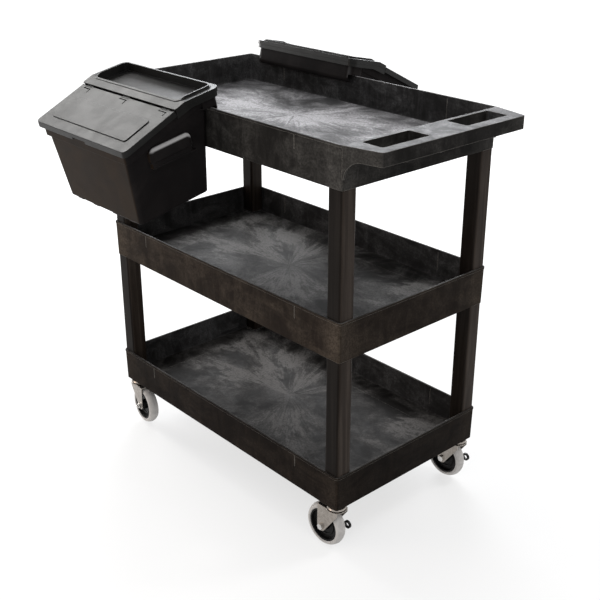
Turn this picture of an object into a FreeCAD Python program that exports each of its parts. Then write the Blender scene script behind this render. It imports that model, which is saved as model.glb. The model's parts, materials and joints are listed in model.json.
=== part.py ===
import FreeCAD, Part
import math
import os
from FreeCAD import Vector

# Rolling utility cart: three moulded tub shelves on eight square legs, four swivel casters,
# a push handle on the top shelf and two lidded bins hooked over the top shelf's long sides.
# Millimetres. +Z is up and z = 0 is the floor. +X points to the handle end. The front is -Y.
# Shapes are built about the tubs' centre. write() then moves them so that the origin lies
# midway along the overall length, handle included.

# Shelves
TUB_LENGTH = 820.0
TUB_WIDTH = 457.0
RIM_Z = {"bottom": 203.0, "middle": 566.0, "top": 928.4}
UNDER_Z = {"bottom": 118.0, "middle": 475.6, "top": 838.7}
TUB_DEPTH = 68.0
WALL = 3.0
LIP_OUT = 1.5
LIP_HEIGHT = 5.0
LIP_RADIUS = 9.0
WALL_RADIUS = 6.0
DRAFT = 1.0
FLOOR_THICKNESS = 4.0
FLOOR_FILLET = 4.0
SKIRT_FILLET = 2.0
LIP_FILLET = 1.4
INNER_DRAFT = 0.8
FIELD_CORNER = 12.0
FIELD_INSET = 62.0
FIELD_RISE = 0.8
RIB = 3.0
RIB_CLEAR = 3.0
RIBS_ALONG = 3
RIBS_ACROSS = 5
MARK_X = 273.0
MARK_WIDTH = 1.6
MARK_DEPTH = 0.9

# Legs and the spigots that hold them
LEG = 40.0
LEG_RADIUS = 6.0
LEG_WALL = 3.0
LEG_X = 386.3
LEG_Y = 204.8
PAD_RISE = 4.5
SPIGOT_GAP = 0.3
SPIGOT_RADIUS = 4.0
SEAT_MARGIN = 0.5
POCKET_HIGH = 90.0
SPIGOT_HIGH = 22.0
SOCKET_HIGH = 42.0

# Push handle
HANDLE_REACH = 82.5
HANDLE_INSET = 20.0
HANDLE_DEPTH = 27.75
HANDLE_WALL = 4.0
HANDLE_CORNER = 5.0
HANDLE_ROOT = 2.5
HAND_HOLE_LINER = 3.0
HAND_HOLE_CORNER = 5.0
HAND_HOLE_X = (414.0, 467.5)
HAND_HOLE_Y = (55.0, 184.0)
GUSSET_RADIUS = 38.0
RIB_THICKNESS = 3.5

# Casters
CASTER_X = 384.0
CASTER_Y = 202.5
WHEEL_RADIUS = 50.8
TYRE_WIDTH = 27.0
HUB_RADIUS = 39.5
TRAIL = 30.0
STEM_RADIUS = 5.5
STEM_LENGTH = 46.0
RACE_RADIUS = 22.0
CROWN_Z = 103.5
SHEET = 2.5
FORK_GAP = 15.5
FORK_TIP = 11.5
FORK_LEAD = -16.0
BORE_PLAY = 0.1
BOLT_HEAD = 5.3
NUT_HIGH = 6.0
HEX_ACROSS = 13.0
BUSH_RADIUS = 6.5
BALL_RADIUS = 2.4
BALL_CIRCLE = 14.0
BALLS = 10
AXLE_RADIUS = 4.0
AXLE_PLAY = 0.08
KINGPIN_RADIUS = 4.5
RUNNING_GAP = 0.35
LEVER_REACH = 45.0
LEVER_LOOP = 9.5
LEVER_EYE = 9.0
LEVER_THICK = 3.2
LEVER_ARM = 8.0
LEVER_LOOP_WIDE = 4.4
LEVER_SEAT = 4.0
LEVER_RISE = 10.5
CASTER_TURN = {
    "front_handle": 182.45,
    "front_plain": -6.24,
    "rear_handle": 180.43,
    "rear_plain": 14.0,
}

# Bins, in a frame of their own: w is sideways, p is outward and q is up, from the bottom
# front edge. The whole bin leans outward by BIN_TILT when it hangs on the rim.
BIN_TILT = 12.0
BIN_EDGE_Y = 403.5
BIN_EDGE_Z = 698.0
BIN_CENTRE_X = {"front": -160.0, "rear": -185.0}
BIN_WALL = 3.0
BIN_BOTTOM_HALF = 143.0
BIN_TOP_HALF = 167.0
BIN_BOTTOM_P = (-188.2, -4.0)
BIN_TOP_P = (-218.4, -0.5)
BIN_TOP_Q = 222.0
BIN_RIM_Q = 225.0
BIN_RADII = (9.0, 11.0)
BAND_HALF = 168.5
BAND_BELOW = (11.5, 34.0)
FLANGE_HALF = 173.5
FLANGE_BELOW = (3.5, 6.5)
RIM_CORNER = 12.0
HOOK_BACK_P = -244.0
HOOK_HALF = 171.5
HOOK_CEILING_Q = 189.4
HOOK_CURL = 11.0
HOOK_BOTTOM_Q = 171.0
LID_HALF = 178.0
LID_FRONT_P = 10.0
LID_BACK_P = -247.0
LID_FRONT_Q = 181.0
LID_SLOPE = 14.9
LID_THICKNESS = 3.0
LID_FLAT_Q = 228.0
LID_STEP = 3.0
SKIRT_DEPTH = 12.5
SKIRT_WALL = 2.5
HINGE_P = -131.0
BARREL_S = 7.0
BARREL_RADIUS = 3.0
CLIP_AT = (-147.0, 0.0, 147.0)
CLIP_HALF = 13.0
CLIP_FRONT = 12.4
CLIP_GAP = 0.7
CLIP_SLOT = 2.8
BROW_REACH = 2.3
TRAY_HALF = 160.0
TRAY_P = (-237.8, -152.0)
TRAY_FLOOR_Q = 213.5
TRAY_WALL = 2.5
TRAY_CORNER = 12.0
TRAY_RIM = 4.5
TRAY_RIM_FRONT = 0.8
TRAY_RIM_WIDE = 3.0
GRIP_P = (-160.0, -51.0)
GRIP_Q = (115.0, 160.0)
GRIP_OUT = 22.5
GRIP_ROOT = 148.5
PANEL_HALF = 146.0
PANEL_S = (48.0, 119.0)
PANEL_RISE = 2.0
BRIM_NOTCH = 25.0

# Longer than anything it cuts, and the tolerance for picking edges by place
BIG = 600.0
FAR_P = -300.0
NEAR_P = 60.0
LOW_Q = -50.0
TOUCH = 0.01


def box(x, y, z):
    """A box from three (low, high) pairs."""
    size = (x[1] - x[0], y[1] - y[0], z[1] - z[0])
    return Part.makeBox(size[0], size[1], size[2], Vector(x[0], y[0], z[0]))


def rounded_wire(x, y, radius, z):
    """A rectangle with round corners at height z."""
    x0, x1 = x
    y0, y1 = y
    corners = ((x1, y0, -90.0), (x1, y1, 0.0), (x0, y1, 90.0), (x0, y0, 180.0))
    arcs = []
    for cx, cy, start in corners:
        centre_x = cx - radius if cx == x1 else cx + radius
        centre_y = cy - radius if cy == y1 else cy + radius
        points = []
        for step in range(3):
            angle = math.radians(start + 45.0 * step)
            points.append(Vector(centre_x + radius * math.cos(angle), centre_y + radius * math.sin(angle), z))
        arcs.append((points, Part.Arc(points[0], points[1], points[2]).toShape()))
    edges = []
    for index, (points, arc) in enumerate(arcs):
        following = arcs[(index + 1) % 4][0]
        edges.append(arc)
        edges.append(Part.makeLine(points[2], following[0]))
    return Part.Wire(edges)


def rounded_box(x, y, z, radius):
    """A box with round upright edges."""
    face = Part.Face(rounded_wire(x, y, radius, z[0]))
    return face.extrude(Vector(0, 0, z[1] - z[0]))


def tapered_box(low, high, z, radii):
    """A straight-sided loft from one rounded rectangle up to another."""
    wires = [rounded_wire(low[0], low[1], radii[0], z[0]), rounded_wire(high[0], high[1], radii[1], z[1])]
    return Part.makeLoft(wires, True, True)


def half_pairs(half_x, half_y):
    return ((-half_x, half_x), (-half_y, half_y))


def edges_where(shape, keep):
    """The edges of a shape whose centre of mass passes a test."""
    return [edge for edge in shape.Edges if keep(edge.CenterOfMass, edge)]


def prism(points, direction):
    """A flat outline of straight sides, extruded."""
    return Part.Face(Part.makePolygon(list(points) + [points[0]])).extrude(direction)


def turned(profile):
    """A closed outline of (radius, z) points turned about the Z axis."""
    points = [Vector(radius, 0, z) for radius, z in profile]
    face = Part.Face(Part.makePolygon(points + [points[0]]))
    return face.revolve(Vector(0, 0, 0), Vector(0, 0, 1), 360)


def joined(shapes):
    """One solid from several that touch or overlap."""
    return shapes[0].multiFuse(shapes[1:]).removeSplitter()


def corner_signs():
    return [(sx, sy) for sx in (-1, 1) for sy in (-1, 1)]


def corner_name(sx, sy):
    return ("front" if sy < 0 else "rear") + "_" + ("handle" if sx > 0 else "plain")


def write(name, shape):
    """Puts the origin at the middle of the overall length and saves one piece."""
    moved = shape.copy()
    moved.translate(Vector(-HANDLE_REACH / 2, 0, 0))
    moved.exportStep("parts/" + name + ".step")


# ---- Shelves ----


def tub_shell(level):
    """Four drafted walls with a rolled rim, and a floor part of the way up."""
    rim, under = RIM_Z[level], UNDER_Z[level]
    floor = rim - TUB_DEPTH
    half_x, half_y = TUB_LENGTH / 2 - LIP_OUT, TUB_WIDTH / 2 - LIP_OUT
    low = half_pairs(half_x - DRAFT, half_y - DRAFT)
    high = half_pairs(half_x, half_y)
    outside = tapered_box(low, high, (under, rim), (WALL_RADIUS, WALL_RADIUS))
    bottom_edges = edges_where(outside, lambda c, e: abs(c.z - under) < TOUCH)
    outside = outside.makeFillet(SKIRT_FILLET, bottom_edges)
    lip_x, lip_y = half_pairs(TUB_LENGTH / 2, TUB_WIDTH / 2)
    lip = rounded_box(lip_x, lip_y, (rim - LIP_HEIGHT, rim), LIP_RADIUS)
    lip = lip.makeFillet(LIP_FILLET, edges_where(lip, lambda c, e: abs(c.z - rim) < TOUCH))
    inner_low = half_pairs(half_x - WALL - INNER_DRAFT, half_y - WALL - INNER_DRAFT)
    inner_high = half_pairs(half_x - WALL, half_y - WALL)
    pocket = tapered_box(inner_low, inner_high, (floor, rim), (WALL_RADIUS, WALL_RADIUS))
    floor_edges = edges_where(pocket, lambda c, e: abs(c.z - floor) < TOUCH)
    pocket = pocket.makeFillet(FLOOR_FILLET, floor_edges)
    below_x, below_y = half_pairs(half_x - WALL - 2.0, half_y - WALL - 2.0)
    below = rounded_box(below_x, below_y, (under - 1, floor - FLOOR_THICKNESS), WALL_RADIUS - 1)
    return joined([outside, lip]).cut(pocket).cut(below)


def floor_field(level):
    """The slightly raised field in the middle of a shelf's floor."""
    floor = RIM_Z[level] - TUB_DEPTH
    x, y = half_pairs(TUB_LENGTH / 2 - FIELD_INSET, TUB_WIDTH / 2 - FIELD_INSET)
    return rounded_box(x, y, (floor - 1, floor + FIELD_RISE), FIELD_CORNER)


def underside_ribs(level):
    """Stiffening ribs below the floor, inside the skirt."""
    z = (UNDER_Z[level] + RIB_CLEAR, RIM_Z[level] - TUB_DEPTH - FLOOR_THICKNESS + 1)
    reach_x, reach_y = TUB_LENGTH / 2 - LIP_OUT - WALL, TUB_WIDTH / 2 - LIP_OUT - WALL
    ribs = []
    for index in range(RIBS_ALONG):
        y = (index - (RIBS_ALONG - 1) / 2) * TUB_WIDTH / (RIBS_ALONG + 1)
        ribs.append(box((-reach_x, reach_x), (y - RIB / 2, y + RIB / 2), z))
    for index in range(RIBS_ACROSS):
        x = (index - (RIBS_ACROSS - 1) / 2) * TUB_LENGTH / (RIBS_ACROSS + 1)
        ribs.append(box((x - RIB / 2, x + RIB / 2), (-reach_y, reach_y), z))
    return ribs


def square_post(sx, sy, half, z, radius):
    """An upright square post on a leg's centre line."""
    x, y = sx * LEG_X, sy * LEG_Y
    return rounded_box((x - half, x + half), (y - half, y + half), z, radius)


def leg_seats(level):
    """A pad and spigot at each inner corner, for the leg that stands on this shelf."""
    floor = RIM_Z[level] - TUB_DEPTH
    high = SOCKET_HIGH if level == "bottom" else SPIGOT_HIGH
    spigot = LEG / 2 - LEG_WALL - SPIGOT_GAP
    made = []
    for sx, sy in corner_signs():
        near_x, far_x = sorted((sx * (LEG_X - LEG / 2 - SEAT_MARGIN), sx * (TUB_LENGTH / 2 - LIP_OUT - 2)))
        near_y, far_y = sorted((sy * (LEG_Y - LEG / 2 - SEAT_MARGIN), sy * (TUB_WIDTH / 2 - LIP_OUT - 2)))
        made.append(rounded_box((near_x, far_x), (near_y, far_y), (floor - 1, floor + PAD_RISE), 6.0))
        made.append(square_post(sx, sy, spigot, (floor, floor + PAD_RISE + high), SPIGOT_RADIUS))
    return made


def leg_pockets(level):
    """The room for each leg above its pad, let slightly into the walls."""
    floor = RIM_Z[level] - TUB_DEPTH + PAD_RISE
    return [square_post(sx, sy, LEG / 2, (floor, floor + POCKET_HIGH), LEG_RADIUS) for sx, sy in corner_signs()]


def leg_caps(level):
    """A spigot under each corner that enters the top of the leg below."""
    ceiling = RIM_Z[level] - TUB_DEPTH - FLOOR_THICKNESS
    spigot = LEG / 2 - LEG_WALL - SPIGOT_GAP
    z = (ceiling - SPIGOT_HIGH, ceiling + 1)
    return [square_post(sx, sy, spigot, z, SPIGOT_RADIUS) for sx, sy in corner_signs()]


def leg_hollows(level):
    """The room that the leg below takes inside the skirt, so that ribs stop short of it."""
    ceiling = RIM_Z[level] - TUB_DEPTH - FLOOR_THICKNESS
    z = (ceiling - 60, ceiling)
    return [square_post(sx, sy, LEG / 2 + SEAT_MARGIN, z, LEG_RADIUS) for sx, sy in corner_signs()]


def caster_sockets():
    """Solid corner blocks under the bottom shelf, with a bore for each caster's stem."""
    under = UNDER_Z["bottom"]
    floor = RIM_Z["bottom"] - TUB_DEPTH
    blocks, bores = [], []
    for sx, sy in corner_signs():
        blocks.append(square_post(sx, sy, LEG / 2, (under, floor), 5.0))
        base = Vector(sx * CASTER_X, sy * CASTER_Y, under - 1)
        bores.append(Part.makeCylinder(STEM_RADIUS + BORE_PLAY, STEM_LENGTH + 3, base))
    return blocks, bores


def wall_marks(level):
    """Shallow upright grooves in the long walls, inside and out."""
    rim = RIM_Z[level]
    inner = TUB_WIDTH / 2 - LIP_OUT - WALL
    outer = TUB_WIDTH / 2 - LIP_OUT
    grooves = []
    for mark in (-MARK_X, MARK_X):
        x = (mark - MARK_WIDTH / 2, mark + MARK_WIDTH / 2)
        for side in (-1, 1):
            y = sorted((side * (inner - 2), side * (inner + MARK_DEPTH - 0.3)))
            grooves.append(box(x, y, (rim - 50, rim - 6)))
            y = sorted((side * (outer - MARK_DEPTH), side * (outer + 2)))
            grooves.append(box(x, y, (rim - 34, rim - LIP_HEIGHT - 1)))
    return grooves


def handle_outline(inset, z):
    """The handle seen from above, narrowing from the tub's width to its outer end."""
    start = TUB_LENGTH / 2 - LIP_OUT - HANDLE_ROOT
    end = TUB_LENGTH / 2 + HANDLE_REACH - inset
    wide = TUB_WIDTH / 2 - LIP_OUT - inset
    narrow = TUB_WIDTH / 2 - HANDLE_INSET - inset
    points = [(start, -wide), (end, -narrow), (end, narrow), (start, wide)]
    solid = prism([Vector(x, y, z[0]) for x, y in points], Vector(0, 0, z[1] - z[0]))
    upright = edges_where(solid, lambda c, e: abs(c.x - end) < TOUCH and abs(c.z - (z[0] + z[1]) / 2) < TOUCH
                          and abs(abs(c.y) - narrow) < TOUCH)
    return solid.makeFillet(max(HANDLE_CORNER - inset, 3.0), upright)


def gusset_profile():
    """The handle's side view: its deep edge, and the concave gusset down to the end wall."""
    rim = RIM_Z["top"]
    under = rim - HANDLE_DEPTH
    wall = TUB_LENGTH / 2 - LIP_OUT - HANDLE_ROOT
    foot = TUB_LENGTH / 2 - LIP_OUT + 1.5
    end = TUB_LENGTH / 2 + HANDLE_REACH + 5.0
    centre = (foot + GUSSET_RADIUS, under - GUSSET_RADIUS)
    middle = GUSSET_RADIUS * math.sqrt(0.5)
    low = Vector(foot, -BIG, centre[1])
    arc = Part.Arc(low, Vector(centre[0] - middle, -BIG, centre[1] + middle), Vector(centre[0], -BIG, under))
    corners = [Vector(centre[0], -BIG, under), Vector(end, -BIG, under), Vector(end, -BIG, rim)]
    corners += [Vector(wall, -BIG, rim), Vector(wall, -BIG, centre[1]), low]
    face = Part.Face(Part.Wire([arc.toShape()] + Part.makePolygon(corners).Edges))
    return face.extrude(Vector(0, 2 * BIG, 0))


def hand_hole(side, grow, z):
    x = (HAND_HOLE_X[0] - grow, HAND_HOLE_X[1] + grow)
    y = sorted((side * (HAND_HOLE_Y[0] - grow), side * (HAND_HOLE_Y[1] + grow)))
    return rounded_box(x, y, z, HAND_HOLE_CORNER + grow)


def push_handle():
    """A hollow-backed handle with two hand holes, moulded onto the top shelf's end wall."""
    rim = RIM_Z["top"]
    deep = rim - HANDLE_DEPTH
    full = handle_outline(0.0, (deep - GUSSET_RADIUS - 2, rim))
    core = handle_outline(HANDLE_WALL, (deep - GUSSET_RADIUS - 3, rim - HANDLE_WALL))
    shell = full.cut(core).common(gusset_profile())
    tubes = [hand_hole(side, HAND_HOLE_LINER, (deep + 3, rim - 1)) for side in (-1, 1)]
    ribs = []
    for side in (-1, 1):
        beside = HAND_HOLE_Y[0] - HAND_HOLE_LINER
        y = sorted((side * beside, side * (beside - RIB_THICKNESS)))
        x = (TUB_LENGTH / 2 - LIP_OUT - 2, TUB_LENGTH / 2 + HANDLE_REACH - 2)
        ribs.append(box(x, y, (deep - GUSSET_RADIUS - 2, rim - 1)).common(gusset_profile()))
    solid = joined([shell] + ribs + tubes)
    for side in (-1, 1):
        solid = solid.cut(hand_hole(side, 0.0, (deep - 2, rim + 2)))
    return solid


def shelf(level):
    """One complete moulded shelf."""
    added = [tub_shell(level), floor_field(level)] + underside_ribs(level)
    body = joined(added)
    if level != "bottom":
        for hollow in leg_hollows(level):
            body = body.cut(hollow)
        body = joined([body] + leg_caps(level))
    if level != "top":
        for pocket in leg_pockets(level):
            body = body.cut(pocket)
        body = joined([body] + leg_seats(level))
    if level == "bottom":
        blocks, bores = caster_sockets()
        body = joined([body] + blocks)
        for bore in bores:
            body = body.cut(bore)
    if level == "top":
        body = joined([body, push_handle()])
    for groove in wall_marks(level):
        body = body.cut(groove)
    return body


def leg(lower, upper, sx, sy):
    """A hollow square leg between two shelves."""
    foot = RIM_Z[lower] - TUB_DEPTH + PAD_RISE
    head = RIM_Z[upper] - TUB_DEPTH - FLOOR_THICKNESS
    outside = square_post(sx, sy, LEG / 2, (foot, head), LEG_RADIUS)
    return outside.cut(square_post(sx, sy, LEG / 2 - LEG_WALL, (foot - 1, head + 1), LEG_RADIUS - LEG_WALL))


# ---- Casters, built with the stem on the Z axis and the wheel trailing along +X ----


def caster_stem():
    """The fixed half: grip stem, upper race cup and the kingpin that carries the fork."""
    under = UNDER_Z["bottom"]
    cup_top = under - 4.5
    cup = turned([(0, cup_top - 2.1), (18.5, cup_top - 2.1), (18.5, 109.0), (21.0, 109.0),
                  (RACE_RADIUS, 110.0), (RACE_RADIUS - 1.5, cup_top), (9.0, cup_top), (9.0, under), (0, under)])
    stem = turned([(0, under - 1), (STEM_RADIUS, under - 1), (STEM_RADIUS, under + STEM_LENGTH - 2),
                   (STEM_RADIUS - 2, under + STEM_LENGTH), (0, under + STEM_LENGTH)])
    pin_foot = CROWN_Z - RUNNING_GAP
    kingpin = turned([(0, cup_top - 1), (KINGPIN_RADIUS, cup_top - 1), (KINGPIN_RADIUS, pin_foot),
                      (7.0, pin_foot), (6.0, pin_foot - 3.5), (0, pin_foot - 4.5)])
    return joined([cup, stem, kingpin])


def fork_leg(side):
    """One pressed fork leg: upright on the trailing edge, tapering to a round tip at the axle."""
    tip = FORK_TIP
    top = CROWN_Z + SHEET
    axle = (TRAIL, WHEEL_RADIUS)
    lead = (FORK_LEAD, CROWN_Z - 8.0)
    reach = math.hypot(lead[0] - axle[0], lead[1] - axle[1])
    lean = math.atan2(lead[1] - axle[1], lead[0] - axle[0]) + math.acos(tip / reach)
    touch = (axle[0] + tip * math.cos(lean), axle[1] + tip * math.sin(lean))
    y = side * FORK_GAP
    mid = math.radians(-60)
    start, end = Vector(axle[0] + tip, y, axle[1]), Vector(touch[0], y, touch[1])
    arc = Part.Arc(start, Vector(axle[0] + tip * math.cos(mid), y, axle[1] + tip * math.sin(mid)), end)
    rest = [end, Vector(lead[0], y, lead[1]), Vector(lead[0], y, top), Vector(axle[0] + tip, y, top), start]
    face = Part.Face(Part.Wire([arc.toShape()] + Part.makePolygon(rest).Edges))
    leg_sheet = face.extrude(Vector(0, side * SHEET, 0))
    near = Vector(TRAIL, y - side * 2, WHEEL_RADIUS)
    hole = Part.makeCylinder(AXLE_RADIUS + BORE_PLAY, 8, near, Vector(0, side, 0))
    return leg_sheet.cut(hole)


def fork():
    """The swivelling fork: crown plate, lower race and two legs."""
    wide = FORK_GAP + SHEET
    disc = turned([(0, CROWN_Z), (RACE_RADIUS - 0.8, CROWN_Z), (RACE_RADIUS, CROWN_Z + 0.8),
                   (RACE_RADIUS, CROWN_Z + SHEET), (0, CROWN_Z + SHEET)])
    bridge = box((FORK_LEAD, TRAIL + FORK_TIP), (-wide, wide), (CROWN_Z, CROWN_Z + SHEET))
    top = CROWN_Z + SHEET
    long_edges = edges_where(bridge, lambda c, e: abs(c.z - top) < TOUCH and abs(abs(c.y) - wide) < TOUCH)
    bridge = bridge.makeFillet(1.8, long_edges)
    crown = joined([disc, bridge, fork_leg(-1), fork_leg(1)])
    return crown.cut(Part.makeCylinder(KINGPIN_RADIUS + BORE_PLAY, 12, Vector(0, 0, CROWN_Z - 4)))


def race_balls():
    """The ring of bearing balls between the two races."""
    height = CROWN_Z + SHEET + BALL_RADIUS + 0.02
    balls = []
    for index in range(BALLS):
        angle = 2 * math.pi * index / BALLS
        centre = Vector(BALL_CIRCLE * math.cos(angle), BALL_CIRCLE * math.sin(angle), height)
        balls.append(Part.makeSphere(BALL_RADIUS, centre))
    return Part.makeCompound(balls)


def on_axle(shape):
    """Lays a shape turned about Z along the axle, which runs along Y."""
    laid = shape.copy()
    laid.rotate(Vector(0, 0, 0), Vector(1, 0, 0), 90)
    laid.translate(Vector(TRAIL, 0, WHEEL_RADIUS))
    return laid


def hexagon(across, low, high):
    radius = across / math.sqrt(3)
    points = [Vector(radius * math.cos(math.radians(60 * i)), radius * math.sin(math.radians(60 * i)), low)
              for i in range(6)]
    return prism(points, Vector(0, 0, high - low))


def axle_bolt():
    """A hexagon-headed bolt through both fork legs."""
    face = FORK_GAP + SHEET
    shank = Part.makeCylinder(AXLE_RADIUS, 2 * face + 12.5, Vector(0, 0, -face - 1))
    return on_axle(joined([shank, hexagon(HEX_ACROSS, -face - BOLT_HEAD, -face)]))


def axle_nut(lever):
    """The nut on the far side, outside the brake lever where there is one."""
    face = FORK_GAP + SHEET + (LEVER_SEAT if lever else 0.0)
    nut = hexagon(HEX_ACROSS, face, face + NUT_HIGH)
    return on_axle(nut.cut(Part.makeCylinder(AXLE_RADIUS, 12, Vector(0, 0, face - 3))))


def wheel_bush():
    """The steel sleeve that the wheel turns on."""
    half = FORK_GAP - RUNNING_GAP
    inner = AXLE_RADIUS + AXLE_PLAY
    return on_axle(turned([(inner, -half), (BUSH_RADIUS, -half), (BUSH_RADIUS, half), (inner, half)]))


def wheel_hub():
    """A moulded hub: rim, dished web with a raised ring on each face, and a bored boss."""
    rim, boss = HUB_RADIUS, 12.0
    half = 11.5
    web = 4.0
    ring = web + 2.2
    side = [(BUSH_RADIUS, 14.2), (boss - 1, 14.2), (boss, 13.2), (boss + 2, web), (22.0, web), (23.0, ring),
            (26.0, ring), (27.0, web), (rim - 5.5, web), (rim - 3.5, half), (rim, half)]
    mirror = [(radius, -z) for radius, z in reversed(side)]
    return on_axle(turned(side + mirror))


def wheel_tyre():
    """A grey tread ring with rounded shoulders."""
    outer, inner, half = WHEEL_RADIUS, HUB_RADIUS, TYRE_WIDTH / 2
    shoulder = [Vector(inner, 0, -half + 2), Vector(inner + 1.5, 0, -half), Vector(outer - 5.0, 0, -half + 1.2)]
    crown = Part.Arc(shoulder[2], Vector(outer, 0, 0), Vector(outer - 5.0, 0, half - 1.2)).toShape()
    other = [Vector(outer - 5.0, 0, half - 1.2), Vector(inner + 1.5, 0, half), Vector(inner, 0, half - 2)]
    edges = Part.makePolygon(shoulder).Edges + [crown] + Part.makePolygon(other + [shoulder[0]]).Edges
    face = Part.Face(Part.Wire(edges))
    return on_axle(face.revolve(Vector(0, 0, 0), Vector(0, 0, 1), 360))


def brake_lever():
    """A moulded lever on the axle outside the fork. Its looped end stands past the tread."""
    base = FORK_GAP + SHEET + RUNNING_GAP
    loop_centre = Vector(-LEVER_REACH, 0, base)
    eye = Part.makeCylinder(LEVER_EYE, LEVER_THICK, Vector(0, 0, base))
    arm = box((-LEVER_REACH, 0.0), (-LEVER_ARM / 2, LEVER_ARM / 2), (base, base + LEVER_THICK))
    loop = Part.makeCylinder(LEVER_LOOP, LEVER_THICK + 1.5, loop_centre)
    lever = joined([eye, arm, loop])
    lever = lever.cut(Part.makeCylinder(LEVER_LOOP - LEVER_LOOP_WIDE, 9, loop_centre - Vector(0, 0, 2)))
    lever = lever.cut(Part.makeCylinder(AXLE_RADIUS + AXLE_PLAY, 9, Vector(0, 0, base - 2)))
    lever.rotate(Vector(0, 0, 0), Vector(0, 0, 1), -LEVER_RISE)
    return on_axle(lever)


def place_caster(shape, sx, sy):
    placed = shape.copy()
    placed.rotate(Vector(0, 0, 0), Vector(0, 0, 1), CASTER_TURN[corner_name(sx, sy)])
    placed.translate(Vector(sx * CASTER_X, sy * CASTER_Y, 0))
    return placed


# ---- Bins ----


def own(w, p, q):
    """A point of the bin's own frame, before it is tilted and hung."""
    return Vector(w, -p, q)


def slope_q(p, below=0.0):
    """Height of the flap's sloping top at p, or of a plane parallel to it."""
    slope = math.radians(LID_SLOPE)
    return LID_FRONT_Q + (LID_FRONT_P - p) * math.tan(slope) - below / math.cos(slope)


def across(points):
    """A side-view outline of (p, q) points, extruded over the whole width."""
    return prism([own(-BIG, p, q) for p, q in points], Vector(2 * BIG, 0, 0))


def slope_slab(top, bottom, flat):
    """The space between two planes parallel to the flap, cut off level at the back."""
    points = [(NEAR_P, slope_q(NEAR_P, top)), (NEAR_P, slope_q(NEAR_P, bottom)), (FAR_P, slope_q(FAR_P, bottom)),
              (FAR_P, slope_q(FAR_P, top))]
    level = [(NEAR_P + 30, LOW_Q), (FAR_P - 20, LOW_Q), (FAR_P - 20, flat), (NEAR_P + 30, flat)]
    return across(points).common(across(level))


def below_rim():
    """Everything under the body's top edge."""
    gap = LID_THICKNESS + 0.5
    bend = LID_FRONT_P + (LID_FRONT_Q - gap / math.cos(math.radians(LID_SLOPE)) - BIN_RIM_Q) \
        / math.tan(math.radians(LID_SLOPE))
    top = [(NEAR_P, slope_q(NEAR_P, gap)), (bend, BIN_RIM_Q), (FAR_P, BIN_RIM_Q)]
    return across(top + [(FAR_P, LOW_Q), (NEAR_P, LOW_Q)])


def plan(half, p, q, radius):
    """An upright block with round corners, from a half width and (low, high) pairs."""
    return rounded_box((-half, half), (-p[1], -p[0]), q, radius)


def bin_taper(inset, low_q):
    """The bin's tapering body, inset on every side, reaching up past its rim."""
    stretch = 1.06
    half_low = BIN_BOTTOM_HALF + (BIN_TOP_HALF - BIN_BOTTOM_HALF) * low_q / BIN_TOP_Q - inset
    half_high = BIN_BOTTOM_HALF + (BIN_TOP_HALF - BIN_BOTTOM_HALF) * stretch - inset

    def edge(index, share, sign):
        return BIN_BOTTOM_P[index] + (BIN_TOP_P[index] - BIN_BOTTOM_P[index]) * share + sign * inset

    low_share = low_q / BIN_TOP_Q
    low = ((-half_low, half_low), (-edge(1, low_share, -1), -edge(0, low_share, 1)))
    high = ((-half_high, half_high), (-edge(1, stretch, -1), -edge(0, stretch, 1)))
    return tapered_box(low, high, (low_q, BIN_TOP_Q * stretch), (BIN_RADII[0] - inset, BIN_RADII[1] - inset))


def bin_hook():
    """The channel along the bin's top back edge that drops over the shelf's rim."""
    block = plan(HOOK_HALF, (HOOK_BACK_P, -196.0), (HOOK_BOTTOM_Q, BIN_RIM_Q), 16.0)
    curl_edges = edges_where(block, lambda c, e: abs(c.z - HOOK_BOTTOM_Q) < TOUCH and c.y > 205)
    block = block.makeFillet(HOOK_CURL, curl_edges)
    inner = HOOK_CURL - 2.6
    centre = (HOOK_BACK_P + HOOK_CURL, HOOK_BOTTOM_Q + HOOK_CURL)
    mid = inner * math.sqrt(0.5)
    arc = Part.Arc(own(-BIG, centre[0] - inner, centre[1]), own(-BIG, centre[0] - mid, centre[1] - mid),
                   own(-BIG, centre[0], centre[1] - inner))
    rest = [(centre[0], centre[1] - inner), (centre[0] + 2.5, centre[1] - inner), (centre[0] + 2.5, 150.0),
            (-180.0, 150.0), (-180.0, HOOK_CEILING_Q), (centre[0] - inner, HOOK_CEILING_Q),
            (centre[0] - inner, centre[1])]
    edges = Part.makePolygon([own(-BIG, p, q) for p, q in rest]).Edges
    channel = Part.Face(Part.Wire([arc.toShape()] + edges)).extrude(Vector(2 * BIG, 0, 0))
    block = block.cut(channel)
    hollow = plan(HOOK_HALF - BIN_WALL, (HOOK_BACK_P + BIN_WALL, -190.0),
                  (HOOK_CEILING_Q + BIN_WALL, BIN_RIM_Q + 1), 13.0)
    return block.cut(hollow)


def grip_layer(inset, p_inset, top, bottom, out, soften):
    """One layer of the grip, drawn flat: p along, q up, and thickness toward the outside."""
    x = (-GRIP_P[1] + p_inset, -GRIP_P[0] - p_inset)
    layer = rounded_box(x, (bottom - 30, top), (0, out), max(15.0 - inset, 4.0))
    layer = layer.cut(box((-BIG, BIG), (-BIG, bottom), (-5, out + 5)))
    if soften:
        edges = edges_where(layer, lambda c, e: abs(c.z - out) < TOUCH and c.y > bottom + 0.1)
        layer = layer.makeFillet(soften, edges)
    return layer


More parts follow.
